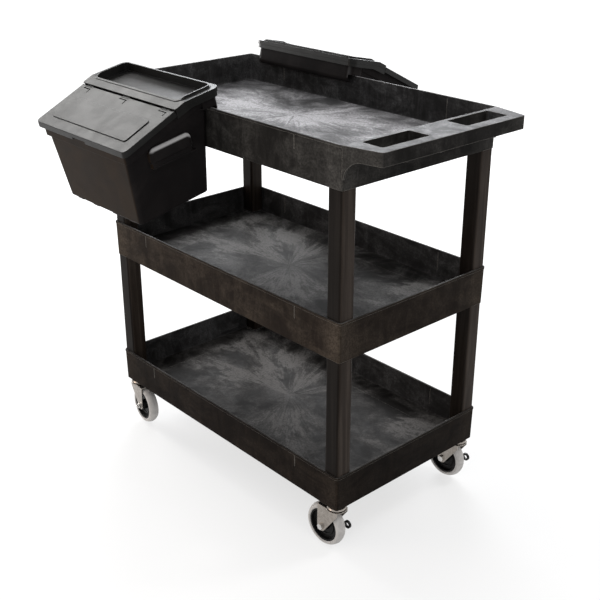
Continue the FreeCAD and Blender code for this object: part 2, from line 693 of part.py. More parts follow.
def grip(side):
    """A hooded hand grip on a side wall: a round bulge over a set-back skirt, open below."""
    low, high = GRIP_Q
    out = GRIP_OUT
    bulge = grip_layer(0.0, 0.0, high, low + 9.0, out, 10.0)
    under = edges_where(bulge, lambda c, e: abs(c.z - out) < TOUCH and abs(c.y - low - 9.0) < TOUCH)
    bulge = bulge.makeFillet(8.0, under)
    skirt = grip_layer(3.0, 3.0, high - 6.0, low, out - 3.0, 3.0)
    bead = box((-GRIP_P[1] + 6.0, -GRIP_P[0] + 4.0), (low, low + 2.2), (5.0, out - 1.6))
    hood = joined([bulge, skirt, bead])
    hood = hood.cut(grip_layer(5.0, 6.0, high - 8.0, low - 5.0, out - 5.5, 2.0))
    hood.rotate(Vector(0, 0, 0), Vector(1, 0, 0), 90)
    hood.rotate(Vector(0, 0, 0), Vector(0, 0, 1), 90)
    hood.translate(Vector(GRIP_ROOT, 0, 0))
    if side < 0:
        hood = hood.mirror(Vector(0, 0, 0), Vector(1, 0, 0))
    return hood


def bin_body():
    """The open bin: tapering walls, rim band, top flange, hook, grips, feet and rest ribs."""
    outside, inside = bin_taper(0.0, 0.0), bin_taper(BIN_WALL, BIN_WALL)
    floor_edges = edges_where(outside, lambda c, e: abs(c.z) < TOUCH)
    outside = outside.makeFillet(4.0, floor_edges)
    band = plan(BAND_HALF, (-212.0, 3.0), (100.0, 260.0), RIM_CORNER).common(slope_slab(*BAND_BELOW, BIN_RIM_Q))
    flange = plan(FLANGE_HALF, (-205.0, 6.0), (100.0, 260.0), RIM_CORNER)
    flange = flange.common(slope_slab(*FLANGE_BELOW, BIN_RIM_Q))
    grips = [grip(side) for side in (-1, 1)]
    feet = [box((w - 12, w + 12), (y, y + 9), (-2.4, 1.0)) for w in (-105, -40, 40, 105) for y in (7, 170)]
    solid = joined([outside.common(below_rim()), band, flange, bin_hook()] + grips + feet)
    solid = solid.cut(inside)
    half = BARREL_RADIUS + 0.6
    solid = solid.cut(slope_box((-BIG, BIG), (BARREL_S - half, BARREL_S + half), (-BARREL_RADIUS - half, 4.0)))
    doorway = plan(TRAY_HALF + TRAY_WALL + 0.4, (HOOK_BACK_P + BIN_WALL, -150.0),
                   (HOOK_CEILING_Q + BIN_WALL, 260.0), RIM_CORNER)
    return solid.cut(doorway)


def hinge_point(s, h):
    """A point from the hinge line: s down the slope and h square to the flap's top."""
    slope = math.radians(LID_SLOPE)
    p = HINGE_P + s * math.cos(slope) + h * math.sin(slope)
    q = slope_q(HINGE_P) - s * math.sin(slope) + h * math.cos(slope)
    return p, q


def along_hinge(radius, w, s=BARREL_S, h=-BARREL_RADIUS):
    """A round bar parallel to the hinge, over a (low, high) span of w."""
    p, q = hinge_point(s, h)
    return Part.makeCylinder(radius, w[1] - w[0], own(w[0], p, q), Vector(1, 0, 0))


def slope_box(w, s, h):
    """A box square to the flap's slope."""
    corners = [(s[0], h[0]), (s[1], h[0]), (s[1], h[1]), (s[0], h[1])]
    points = [own(w[0], *hinge_point(a, b)) for a, b in corners]
    return prism(points, Vector(w[1] - w[0], 0, 0))


def below_roof(top, rise):
    """Everything under a roof that is level at the back and slopes down, rise above the flap, to the hinge."""
    bend = LID_FRONT_P + (LID_FRONT_Q + rise - top) / math.tan(math.radians(LID_SLOPE))
    roof = [(HINGE_P, slope_q(HINGE_P) + rise), (bend, top), (FAR_P, top)]
    return across(roof + [(FAR_P, LOW_Q), (HINGE_P, LOW_Q)])


def lid_top(raise_by):
    """Everything under the rear lid's top surface, or under a surface that much above it."""
    return below_roof(LID_FLAT_Q + raise_by, LID_STEP / math.cos(math.radians(LID_SLOPE)) + raise_by)


def tray_rim_top():
    """Everything under the tray's raised rim, which runs up the slope and then level."""
    return below_roof(LID_FLAT_Q + TRAY_RIM, LID_STEP / math.cos(math.radians(LID_SLOPE)) + TRAY_RIM_FRONT)


def lid_shell():
    """The rear lid's skirted shell, with a step half-way down its skirt."""
    drop = SKIRT_DEPTH + LID_STEP + 3.0
    above = across([(60.0, slope_q(60.0, SKIRT_DEPTH)), (60.0, 400.0), (-320.0, 400.0),
                    (-320.0, LID_FLAT_Q - drop), (-172.0, LID_FLAT_Q - drop)])
    layers = []
    for half, back, low in ((LID_HALF + 1.5, LID_BACK_P - 1.5, 150.0), (LID_HALF, LID_BACK_P, 150.0)):
        rounded = plan(half, (back, HINGE_P), (low, 260.0), 17.0)
        square = box((-half, half), (-HINGE_P, -HINGE_P + 25), (low, 260.0))
        layers.append(joined([rounded, square]))
    upper = layers[0].common(lid_top(0.0)).cut(lid_top(-9.0))
    lower = layers[1].common(lid_top(-8.0))
    core = plan(LID_HALF - SKIRT_WALL, (LID_BACK_P + SKIRT_WALL, HINGE_P + 40), (100.0, 260.0), 14.0)
    return joined([upper, lower]).cut(core.common(lid_top(-LID_THICKNESS))).common(above)


def hinge_clips():
    """Three blocks that hold the flap's barrel, flush with the flap when it is shut."""
    clips = []
    for w in CLIP_AT:
        span = (w - CLIP_HALF, w + CLIP_HALF)
        clip = slope_box(span, (-1.0, CLIP_FRONT), (-8.6, -0.2))
        long_edges = edges_where(clip, lambda c, e: c.z < slope_q(-c.y) - 8.0 and -c.y > HINGE_P + 6)
        clips.append(clip.makeFillet(3.0, long_edges))
    return clips


def rear_lid():
    """The fixed rear part of the lid: a rimmed tray, a stepped skirt and three hinge clips."""
    tray_out = plan(TRAY_HALF + TRAY_WALL, (TRAY_P[0] - TRAY_WALL, TRAY_P[1] + TRAY_WALL),
                    (TRAY_FLOOR_Q - TRAY_WALL, 260.0), TRAY_CORNER + TRAY_WALL)
    rim = plan(TRAY_HALF + TRAY_RIM_WIDE, (TRAY_P[0] - TRAY_RIM_WIDE, TRAY_P[1] + TRAY_RIM_WIDE),
               (150.0, 260.0), TRAY_CORNER + TRAY_RIM_WIDE)
    rim = rim.common(tray_rim_top()).cut(lid_top(-1.0))
    step = plan(TRAY_HALF + 7.0, (TRAY_P[0] - 4.5, TRAY_P[1] + 4.5), (150.0, 260.0), 18.0)
    step = step.common(lid_top(1.4)).cut(lid_top(-1.0))
    front_web = slope_box((-157.0, 157.0), (-3.0, 0.0), (-11.0, 1.0))
    brow = slope_box((-LID_HALF, LID_HALF), (-2.0, BROW_REACH), (0.5, LID_STEP))
    lid = joined([lid_shell(), tray_out.common(lid_top(-0.5)), rim, step, front_web, brow] + hinge_clips())
    lid = lid.cut(plan(TRAY_HALF, TRAY_P, (TRAY_FLOOR_Q, 270.0), TRAY_CORNER))
    for w in CLIP_AT:
        span = (w - CLIP_HALF - 1, w + CLIP_HALF + 1)
        lid = lid.cut(along_hinge(BARREL_RADIUS + RUNNING_GAP, span))
    return lid


def raised_panel():
    """The raised rounded panel on the flap."""
    panel = slope_box((-PANEL_HALF, PANEL_HALF), PANEL_S, (-1.0, PANEL_RISE))
    short = edges_where(panel, lambda c, e: abs(e.Length - PANEL_RISE - 1.0) < TOUCH)
    panel = panel.makeFillet(7.0, short)
    around = edges_where(panel, lambda c, e: c.z > slope_q(-c.y, -1.9))
    return panel.makeFillet(0.8, around)


def flap():
    """The front flap: a skirted plate with a rolled hinge edge and a raised panel."""
    front_s = (LID_FRONT_P - HINGE_P) / math.cos(math.radians(LID_SLOPE))
    start = BARREL_S - BARREL_RADIUS
    outline = plan(LID_HALF, (HINGE_P - 40, LID_FRONT_P), (50.0, 300.0), 11.0)
    inner = plan(LID_HALF - SKIRT_WALL, (HINGE_P - 60, LID_FRONT_P - SKIRT_WALL), (40.0, 310.0), 8.5)
    wide = (-LID_HALF - 5, LID_HALF + 5)
    plate = slope_box(wide, (start, front_s + 30), (-SKIRT_DEPTH, 0.0)).common(outline)
    top_edges = edges_where(plate, lambda c, e: c.y < -LID_FRONT_P + 30 and c.z > slope_q(-c.y) - 0.6)
    plate = plate.makeFillet(1.5, top_edges)
    under = slope_box(wide, (start - 5, front_s + 40), (-SKIRT_DEPTH - 5, -LID_THICKNESS))
    plate = plate.cut(under.common(inner))
    between = (-LID_HALF + SKIRT_WALL, LID_HALF - SKIRT_WALL)
    plate = plate.cut(slope_box(between, (start - 5, BARREL_S), (-30.0, 5.0)))
    barrel = along_hinge(BARREL_RADIUS, (-LID_HALF + 1.0, LID_HALF - 1.0))
    notch_top = slope_q(LID_FRONT_P, SKIRT_DEPTH) + 5.0
    notch = plan(BRIM_NOTCH, (LID_FRONT_P - 15, LID_FRONT_P + 15), (100.0, notch_top), 3.0)
    lid = joined([plate, raised_panel()]).cut(notch)
    for w in CLIP_AT:
        span = (w - CLIP_HALF - CLIP_GAP, w + CLIP_HALF + CLIP_GAP)
        lid = lid.cut(slope_box(span, (0.0, CLIP_FRONT + CLIP_SLOT), (-20.0, 10.0)))
        leg_span = (w + CLIP_HALF + CLIP_GAP - CLIP_SLOT, w + CLIP_HALF + CLIP_GAP)
        lid = lid.cut(slope_box(leg_span, (CLIP_FRONT, CLIP_FRONT + 13.0), (-20.0, 10.0)))
    return joined([lid, barrel])


def hang(shape, side):
    """Tilts a bin's piece outward and hangs it on the front or the rear rim."""
    hung = shape.copy()
    hung.rotate(Vector(0, 0, 0), Vector(1, 0, 0), BIN_TILT)
    if side == "front":
        hung.translate(Vector(BIN_CENTRE_X["front"], -BIN_EDGE_Y, BIN_EDGE_Z))
    else:
        hung.translate(Vector(-BIN_CENTRE_X["rear"], -BIN_EDGE_Y, BIN_EDGE_Z))
        hung.rotate(Vector(0, 0, 0), Vector(0, 0, 1), 180)
    return hung


# ---- Output ----


def main():
    os.makedirs("parts", exist_ok=True)
    for level in ("bottom", "middle", "top"):
        write(level + "_shelf", shelf(level))
    for sx, sy in corner_signs():
        where = corner_name(sx, sy)
        write("lower_leg_" + where, leg("bottom", "middle", sx, sy))
        write("upper_leg_" + where, leg("middle", "top", sx, sy))
    braked = brake_lever()
    pieces = {"caster_stem": caster_stem(), "caster_fork": fork(), "race_balls": race_balls(),
              "axle_bolt": axle_bolt(), "wheel_bush": wheel_bush(), "wheel_hub": wheel_hub(),
              "wheel_tyre": wheel_tyre()}
    for sx, sy in corner_signs():
        where = corner_name(sx, sy)
        for name, shape in pieces.items():
            write(name + "_" + where, place_caster(shape, sx, sy))
        write("axle_nut_" + where, place_caster(axle_nut(sx > 0), sx, sy))
        if sx > 0:
            write("brake_lever_" + where, place_caster(braked, sx, sy))
    bins = {"body": bin_body(), "rear_lid": rear_lid(), "flap": flap()}
    for side in ("front", "rear"):
        for name, shape in bins.items():
            write("bin_" + side + "_" + name, hang(shape, side))


main()
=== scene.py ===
import json
import math

import bmesh
import bpy
from mathutils import Matrix, Vector
from mathutils.bvhtree import BVHTree


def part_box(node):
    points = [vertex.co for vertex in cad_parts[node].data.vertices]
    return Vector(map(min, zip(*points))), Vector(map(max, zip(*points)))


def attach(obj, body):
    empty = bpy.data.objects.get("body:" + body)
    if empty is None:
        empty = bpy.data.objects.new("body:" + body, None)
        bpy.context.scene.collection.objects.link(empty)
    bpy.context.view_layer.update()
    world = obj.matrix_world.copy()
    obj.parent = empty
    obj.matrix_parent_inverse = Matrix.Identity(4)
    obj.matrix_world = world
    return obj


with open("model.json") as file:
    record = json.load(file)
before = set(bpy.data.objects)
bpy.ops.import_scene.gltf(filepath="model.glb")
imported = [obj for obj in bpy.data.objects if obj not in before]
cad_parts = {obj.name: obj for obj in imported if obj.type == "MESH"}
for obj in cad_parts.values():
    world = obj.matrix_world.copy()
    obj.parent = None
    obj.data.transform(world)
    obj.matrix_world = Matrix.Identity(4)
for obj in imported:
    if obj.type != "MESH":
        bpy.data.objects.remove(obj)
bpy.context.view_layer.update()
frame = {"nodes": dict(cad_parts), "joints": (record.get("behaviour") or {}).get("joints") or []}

# Every length is in metres
JOINTS = {joint["name"]: joint for joint in frame["joints"]}
CORNERS = ("front_handle", "front_plain", "rear_handle", "rear_plain")

# The tubs' middle lies behind the origin, because the handle counts in the overall length
tub_low, tub_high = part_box("middle_shelf")
TUB_MIDDLE_X = (tub_low[0] + tub_high[0]) / 2

# Where the plastic entered the shelves' moulds, and the flow marks around it: x, y, radius and strength,
# which is below zero for a dark mark
TUB_GATE = (-0.056, 0.014)
TUB_MARKS = ((-0.13, 0.08, 0.10, 1.0), (0.03, -0.07, 0.08, 0.85), (-0.25, -0.02, 0.09, 0.95),
             (-0.36, -0.03, 0.06, 0.6), (-0.38, 0.09, 0.07, 0.75), (-0.22, 0.12, 0.07, 0.55),
             (0.15, 0.18, 0.08, 0.55), (0.22, 0.13, 0.08, 0.8), (0.20, 0.03, 0.07, 0.4),
             (0.12, -0.10, 0.08, 0.4), (-0.10, -0.055, 0.035, -1.3), (0.06, 0.12, 0.07, -0.5),
             (-0.30, 0.06, 0.04, -0.4), (-0.33, 0.14, 0.09, 1.1), (-0.20, 0.18, 0.07, 0.8),
             (0.02, 0.17, 0.08, 0.6), (0.27, -0.02, 0.06, 0.6), (0.29, 0.16, 0.06, 0.7))
TOP_GATE = (-0.075, 0.045)
TOP_MARKS = ((-0.06, 0.05, 0.09, 0.8), (-0.04, 0.18, 0.07, 0.7), (0.15, 0.15, 0.10, 1.0),
             (0.05, 0.06, 0.09, 0.9), (0.20, 0.01, 0.08, 0.9), (-0.34, 0.06, 0.10, 0.8),
             (-0.22, 0.17, 0.06, 0.35), (-0.20, 0.02, 0.08, 0.6), (0.07, -0.12, 0.08, 0.6),
             (0.25, 0.10, 0.07, 0.6), (-0.12, 0.14, 0.05, -0.6))

# The pale patches at the corners of the shelves' walls are measured in from these half sizes
CORNER_HALF_LONG = 0.41
CORNER_HALF_WIDE = 0.235

INNER_WALL_PAIR = ((0.0130, 0.0125, 0.0125), (0.085, 0.083, 0.084))
# Painted shade: the outer walls that face the cart's ends are darkened by this factor
PAINTED_END_WALL_SHADE = 0.62
# Pale shelf edges: wear, and a painted highlight along the rims
SHELF_EDGE_WEAR_AND_HIGHLIGHT = (0.24, 0.225, 0.205)
# A painted highlight on the upward shoulders of the bins' grips
PAINTED_SHOULDER_HIGHLIGHT = (0.30, 0.293, 0.293)
TREAD_PAIR = ((0.32, 0.308, 0.297), (0.40, 0.386, 0.372))
TREAD_DIRT = (0.17, 0.15, 0.13)

PARTING_LINE_STEPS = 160
PARTING_LINE_HALF_WIDE = 0.0004
PARTING_LINE_PROUD = 0.00025
PARTING_LINE_SUNK = 0.0004

# The gate stub's outline from its root to its tip: radius, and height from the shelf's underside
GATE_STUB_OUTLINE = ((0.0075, 0.0004), (0.0075, -0.0008), (0.0066, -0.0013), (0.0040, -0.0013),
                     (0.0032, -0.0021), (0.0014, -0.0025))
GATE_STUB_SIDES = 40
CLEAR_BELOW = 0.05

CAMERA_PLACE = (1.64571, -1.48096, 1.4244)
CAMERA_TURN = math.radians(48.14)
CAMERA_DOWN = math.radians(23.36)
CAMERA_SENSOR_MM = 36.0
CAMERA_LENS_MM = 60.36
CAMERA_SHIFT = (0.0019, -0.0258)
CAMERA_FAR = 60.0

FLOOR_HALF_SIZE = 14.0
FLOOR_DROP = 0.0045
WORLD_STRENGTH = 1.0

# Each light's name, place, aim, diameter, watts and colour
LIGHTS = (
    ("key_left", (-2.9, -0.1, 3.1), (-0.1, 0.0, 0.8), 1.5, 54.0, (1.0, 0.99, 0.97)),
    ("back_wash", (-2.5, 2.3, 2.2), (0.0, 0.0, 0.7), 2.4, 140.0, (0.95, 0.97, 1.0)),
    ("front_warm", (-1.4, -3.2, 0.9), (-0.1, -0.2, 0.6), 1.6, 26.0, (1.0, 0.80, 0.64)),
    ("rim_back", (1.35, 1.95, 2.9), (0.1, 0.0, 0.7), 0.8, 30.0, (1.0, 1.0, 1.0)),
    ("side_low", (-3.0, -0.5, 0.95), (-0.1, 0.0, 0.45), 0.9, 44.0, (1.0, 0.99, 0.98)),
)


class Graph:
    """A material's node tree, with one short call per kind of node."""

    def __init__(self, name):
        self.material = bpy.data.materials.new(name)
        self.material.use_nodes = True
        self.tree = self.material.node_tree
        self.shader = self.tree.nodes["Principled BSDF"]
        where = self.tree.nodes.new("ShaderNodeTexCoord")
        self.place = where.outputs["Object"]
        self.facing = where.outputs["Normal"]

    def feed(self, socket, value):
        if isinstance(value, bpy.types.NodeSocket):
            self.tree.links.new(value, socket)
        elif hasattr(socket.default_value, "__len__") and len(socket.default_value) == 4:
            socket.default_value = (*value[:3], 1.0)
        else:
            socket.default_value = value

    def set(self, **values):
        """Sets the shader's own sockets. An underscore stands for a space in a socket's name."""
        for name, value in values.items():
            self.feed(self.shader.inputs[name.replace("_", " ")], value)

    def math(self, operation, a, b=0.0, clamp=False):
        node = self.tree.nodes.new("ShaderNodeMath")
        node.operation = operation
        node.use_clamp = clamp
        for socket, value in zip(node.inputs, (a, b)):
            self.feed(socket, value)
        return node.outputs[0]

    def vector_node(self, operation, *values):
        node = self.tree.nodes.new("ShaderNodeVectorMath")
        node.operation = operation
        for socket, value in zip(node.inputs, values):
            self.feed(socket, value)
        return node

    def vector(self, operation, *values):
        """Vector arithmetic that gives a vector."""
        return self.vector_node(operation, *values).outputs["Vector"]

    def measure(self, operation, *values):
        """Vector arithmetic that gives a number: a length, a distance or a dot product."""
        return self.vector_node(operation, *values).outputs["Value"]

    def scaled(self, vector, factor):
        node = self.vector_node("SCALE", vector)
        self.feed(node.inputs["Scale"], factor)
        return node.outputs["Vector"]

    def split(self, vector):
        node = self.tree.nodes.new("ShaderNodeSeparateXYZ")
        self.feed(node.inputs[0], vector)
        return node.outputs

    def combine(self, x, y, z):
        node = self.tree.nodes.new("ShaderNodeCombineXYZ")
        for socket, value in zip(node.inputs, (x, y, z)):
            self.feed(socket, value)
        return node.outputs[0]

    def stretched(self, x, y, z):
        """The place on the object times a factor for each axis. A small factor draws a pattern out."""
        return self.vector("MULTIPLY", self.place, (x, y, z))

    def noise(self, scale, detail=3.0, rough=0.55, warp=0.0, at=None, output=0):
        node = self.tree.nodes.new("ShaderNodeTexNoise")
        self.feed(node.inputs["Vector"], self.place if at is None else at)
        for name, value in (("Scale", scale), ("Detail", detail), ("Roughness", rough), ("Distortion", warp)):
            node.inputs[name].default_value = value
        return node.outputs[output]

    def cells(self, scale):
        node = self.tree.nodes.new("ShaderNodeTexVoronoi")
        self.feed(node.inputs["Vector"], self.place)
        node.inputs["Scale"].default_value = scale
        return node.outputs["Distance"]

    def between(self, value, low, high, to_low=0.0, to_high=1.0):
        """Runs smoothly from to_low to to_high as value goes from low to high, and is level past them."""
        node = self.tree.nodes.new("ShaderNodeMapRange")
        node.interpolation_type = "SMOOTHSTEP"
        for socket, item in zip(node.inputs, (value, low, high, to_low, to_high)):
            self.feed(socket, item)
        return node.outputs[0]

    def mix(self, share, a, b):
        """Colour a where share is 0 and colour b where it is 1."""
        node = self.tree.nodes.new("ShaderNodeMix")
        node.data_type = "RGBA"
        for name, value in (("Factor_Float", share), ("A_Color", a), ("B_Color", b)):
            socket = next(s for s in node.inputs if s.identifier == name)
            self.feed(socket, value)
        return next(s for s in node.outputs if s.identifier == "Result_Color")

    def rounded_edges(self, radius):
        """The normal that sharp edges would have with a small radius, and a mask of those edges."""
        node = self.tree.nodes.new("ShaderNodeBevel")
        node.samples = 4
        node.inputs["Radius"].default_value = radius
        geometry = self.tree.nodes.new("ShaderNodeNewGeometry")
        same = self.measure("DOT_PRODUCT", node.outputs[0], geometry.outputs["Normal"])
        return node.outputs[0], self.between(same, 0.995, 0.85)

    def bump(self, height, strength, distance, normal=None):
        node = self.tree.nodes.new("ShaderNodeBump")
        node.inputs["Strength"].default_value = strength
        node.inputs["Distance"].default_value = distance
        self.feed(node.inputs["Height"], height)
        if normal is not None:
            self.feed(node.inputs["Normal"], normal)
        return node.outputs[0]


# ---- Materials ----


def flow_marks(g, gate, marks, contrast):
    """How pale a shelf's floor is: ragged patches, broken up by streaks that run out from the gate."""
    x, y, _ = g.split(g.place)
    flat = g.combine(x, y, 0.0)
    away = g.vector("SUBTRACT", flat, (*gate, 0.0))
    reach = g.measure("LENGTH", away)
    turn_x, turn_y, _ = g.split(g.vector("NORMALIZE", away))

    def streaks(across, along, detail, rough, warp, least, most):
        at = g.combine(g.math("MULTIPLY", turn_x, across), g.math("MULTIPLY", turn_y, across),
                       g.math("MULTIPLY", reach, along))
        return g.between(g.noise(1.0, detail=detail, rough=rough, warp=warp, at=at), 0.36, 0.62, least, most)

    sway = g.vector("SUBTRACT", g.noise(9.0, detail=4.0, rough=0.5, output="Color"), (0.5, 0.5, 0.5))
    ragged = g.vector("ADD", flat, g.scaled(sway, 0.12))
    total = 0.0
    for mark_x, mark_y, radius, strength in marks:
        gap = g.measure("DISTANCE", ragged, (mark_x, mark_y, 0.0))
        total = g.math("ADD", g.between(gap, radius * 1.5, 0.0, 0.0, strength), total)
    fans = streaks(2.6, 7.0, 5.0, 0.6, 0.5, 1.0 - contrast, 1.0 + 0.4 * contrast)
    threads = streaks(14.0, 16.0, 6.0, 0.7, 0.8, 1.0 - 0.7 * contrast, 1.0 + 0.5 * contrast)
    return g.math("MULTIPLY", g.math("MULTIPLY", total, fans), threads, clamp=True)


def foam_walls(g, speckle, outer_pair):
    """The colour of a shelf's walls: upright wisps, lying clouds, pale corners, browner outside, painted
    shade on the ends.
    """
    x, y, _ = g.split(g.place)
    facing_x, facing_y, _ = g.split(g.facing)
    from_middle = g.math("SUBTRACT", x, TUB_MIDDLE_X)
    upright = g.noise(1.0, detail=7.0, rough=0.72, warp=0.8, at=g.stretched(26.0, 26.0, 7.0))
    lying = g.noise(1.0, detail=7.0, rough=0.70, warp=0.9, at=g.stretched(9.0, 9.0, 16.0))
    wisps = g.between(upright, 0.42, 0.70)
    clouds = g.between(lying, 0.40, 0.70)
    in_from_side = g.math("SUBTRACT", CORNER_HALF_WIDE, g.math("ABSOLUTE", y))
    in_from_end = g.math("SUBTRACT", CORNER_HALF_LONG, g.math("ABSOLUTE", from_middle))
    in_from_corner = g.math("MAXIMUM", in_from_side, in_from_end)
    ragged = g.math("ADD", in_from_corner, g.math("MULTIPLY", g.noise(30.0, detail=5.0, rough=0.65), 0.05))
    corner = g.between(ragged, 0.10, 0.045)
    pattern = g.math("ADD", g.math("MULTIPLY", wisps, 0.24), g.math("MULTIPLY", clouds, 0.38))
    pattern = g.math("ADD", pattern, g.math("MULTIPLY", corner, 0.35), clamp=True)
    mottle = g.math("MULTIPLY", pattern, speckle)
    outer = g.mix(mottle, *outer_pair)
    # Painted shade: outer faces towards the cart's ends take a darker copy of the wall colour
    painted_shade_on_ends = g.between(g.math("ABSOLUTE", facing_x), 0.7, 0.95)
    outer = g.mix(painted_shade_on_ends, outer, g.scaled(outer, PAINTED_END_WALL_SHADE))
    inner = g.mix(mottle, *INNER_WALL_PAIR)
    outward = g.math("ADD", g.math("MULTIPLY", facing_x, from_middle), g.math("MULTIPLY", facing_y, y))
    return g.mix(g.between(outward, -0.02, 0.02), inner, outer)


def foam_plastic(name, gate, marks, floor_pair, wall_pair, contrast):
    """Black structural-foam plastic: flow marks on floors, cloudy walls, worn edges with a painted highlight.
    Each pair is (dark, pale).
    """
    g = Graph(name)
    floor_marks = flow_marks(g, gate, marks, contrast)
    haze = g.between(g.noise(11.0, detail=7.0, rough=0.68, warp=0.7), 0.40, 0.64)
    speckle = g.between(g.noise(240.0, detail=6.0, rough=0.78), 0.38, 0.62, 0.50, 1.50)
    floor_pattern = g.math("ADD", floor_marks, g.math("MULTIPLY", haze, 0.35), clamp=True)
    floor_colour = g.mix(g.math("MULTIPLY", floor_pattern, speckle), *floor_pair)
    # Upward faces take the floor colours, which are paler than the walls' partly as a painted sheen
    level = g.between(g.split(g.facing)[2], 0.6, 0.95)
    rounded, edge = g.rounded_edges(0.0013)
    colour = g.mix(level, foam_walls(g, speckle, wall_pair), floor_colour)
    # Pale edges: wear, and a painted highlight along the rims
    colour = g.mix(g.math("MULTIPLY", edge, 0.75), colour, SHELF_EDGE_WEAR_AND_HIGHLIGHT)
    rough = g.math("ADD", g.between(g.noise(40.0, detail=4.0), 0.3, 0.7, 0.44, 0.54),
                   g.math("MULTIPLY", floor_marks, 0.07))
    grain = g.math("ADD", g.noise(900.0, detail=2.0), g.math("MULTIPLY", g.noise(190.0, detail=4.0), 1.4))
    g.set(Base_Color=colour, Roughness=rough, Specular_IOR_Level=0.02,
          Normal=g.bump(grain, 0.22, 0.0004, rounded))
    return g.material


def bin_tints(g, colour, bloom):
    """A painted warm reflection, in patches, on a bin's outward face, and a painted highlight on its grips'
    shoulders.
    """
    side = g.math("SIGN", g.split(g.place)[1])
    facing_x, facing_y, facing_z = g.split(g.facing)
    # Painted warm reflection: outward faces are warmed, broken into random patches
    outward = g.between(g.math("MULTIPLY", facing_y, side), 0.80, 0.97)
    patches = g.between(g.noise(11.0, detail=5.0, rough=0.6, warp=1.5), 0.25, 0.75, 0.45, 1.15)
    colour = g.mix(g.math("MULTIPLY", outward, patches), colour, bloom)
    # Painted highlight on faces that slope up and towards the ends, the grips' shoulders
    painted_highlight = g.math("MULTIPLY", g.between(facing_z, 0.08, 0.50),
                      g.between(g.math("ABSOLUTE", facing_x), 0.25, 0.60))
    return g.mix(g.math("MULTIPLY", painted_highlight, 0.95), colour, PAINTED_SHOULDER_HIGHLIGHT)


def smooth_plastic(name, pair, rough, shine, grain_scale=1100.0, grain=0.16, edge_share=0.35, streaks=None,
                   bloom=None, painted_end_light=None):
    """Injection-moulded plastic: faint mottling in two near blacks, a fine grain and worn edges.

    streaks draws the mottling out along an axis, bloom is the colour of the painted warm reflection on a
    bin's outward faces, and painted_end_light brightens the faces towards the two ends of the cart as painted
    light.
    """
    g = Graph(name)
    dark, pale = pair
    if streaks is None:
        pattern = g.noise(6.0, detail=5.0, rough=0.6, warp=1.2)
    else:
        pattern = g.noise(1.0, detail=5.0, rough=0.6, warp=1.2, at=g.stretched(*streaks))
    specks = g.between(g.noise(500.0, detail=2.0), 0.3, 0.7, 0.8, 1.2)
    colour = g.mix(g.math("MULTIPLY", g.between(pattern, 0.38, 0.72), specks), dark, pale)
    if painted_end_light is not None:
        # Painted light: faces towards the cart's ends are brightened by this factor
        painted_light_share = g.between(g.math("ABSOLUTE", g.split(g.facing)[0]), 0.6, 0.95)
        colour = g.mix(painted_light_share, colour, g.scaled(colour, painted_end_light))
    if bloom is not None:
        colour = bin_tints(g, colour, bloom)
    rounded, edge = g.rounded_edges(0.0008)
    worn = [min(1.0, part * 2.6 + 0.02) for part in pale]
    colour = g.mix(g.math("MULTIPLY", edge, edge_share), colour, worn)
    scratches = g.noise(1.0, detail=6.0, rough=0.7, warp=0.4, at=g.stretched(70.0, 22.0, 34.0))
    handling = g.between(g.noise(25.0, detail=4.0), 0.3, 0.7, rough - 0.03, rough + 0.04)
    roughness = g.math("ADD", handling, g.between(scratches, 0.58, 0.75, 0.0, 0.06))
    ripple = g.math("MULTIPLY", g.noise(60.0, detail=3.0), 2.0)
    height = g.math("ADD", g.noise(grain_scale, detail=2.0), ripple)
    g.set(Base_Color=colour, Roughness=roughness, Specular_IOR_Level=shine,
          Normal=g.bump(height, grain, 0.0003, rounded))
    return g.material


def plated_metal(name, bright, dull, rough, stretch):
    """Bright steel or zinc plate: fine rolling lines, cloudy patches and a faint crystal pattern."""
    g = Graph(name)
    lines = g.noise(1.0, detail=4.0, rough=0.6, at=g.stretched(*stretch))
    clouds = g.between(g.noise(70.0, detail=5.0, rough=0.6, warp=1.0), 0.35, 0.7)
    crystals = g.between(g.cells(420.0), 0.2, 0.8)
    shade = g.math("ADD", g.math("MULTIPLY", clouds, 0.7), g.math("MULTIPLY", crystals, 0.3))
    rounded, edge = g.rounded_edges(0.0006)
    colour = g.mix(shade, bright, dull)
    colour = g.mix(g.math("MULTIPLY", edge, 0.6), colour, [min(1.0, part * 1.15) for part in bright])
    roughness = g.between(lines, 0.3, 0.7, rough - 0.06, rough + 0.10)
    g.set(Base_Color=colour, Metallic=1.0, Roughness=roughness, Normal=g.bump(lines, 0.12, 0.0003, rounded))
    return g.material


def tread(name):
    """Grey non-marking rubber with a soft bloom, faint dirt and a very fine moulded grain."""
    g = Graph(name)
    bloom = g.between(g.noise(45.0, detail=6.0, rough=0.65, warp=0.8), 0.35, 0.68)
    dirt = g.between(g.noise(140.0, detail=5.0, rough=0.7), 0.60, 0.78)
    colour = g.mix(bloom, *TREAD_PAIR)
    colour = g.mix(g.math("MULTIPLY", dirt, 0.35), colour, TREAD_DIRT)
    rough = g.between(g.noise(80.0, detail=4.0), 0.3, 0.7, 0.50, 0.64)
    height = g.math("ADD", g.noise(1500.0, detail=2.0), g.math("MULTIPLY", g.noise(260.0, detail=4.0), 1.2))
    g.set(Base_Color=colour, Roughness=rough, Specular_IOR_Level=0.35, Normal=g.bump(height, 0.25, 0.0003))
    return g.material


def stage_floor(name):
    """A matt, slightly uneven floor that glows, more so further out, and so looks plain white."""
    g = Graph(name)
    shade = g.between(g.noise(0.8, detail=3.0), 0.3, 0.7)
    far = g.measure("LENGTH", g.place)
    g.set(Base_Color=g.mix(shade, (0.24, 0.24, 0.24), (0.27, 0.27, 0.27)), Roughness=0.9,
          Specular_IOR_Level=0.0, Emission_Color=(1.0, 1.0, 1.0),
          Emission_Strength=g.between(far, 0.8, 4.5, 0.66, 0.88))
    return g.material


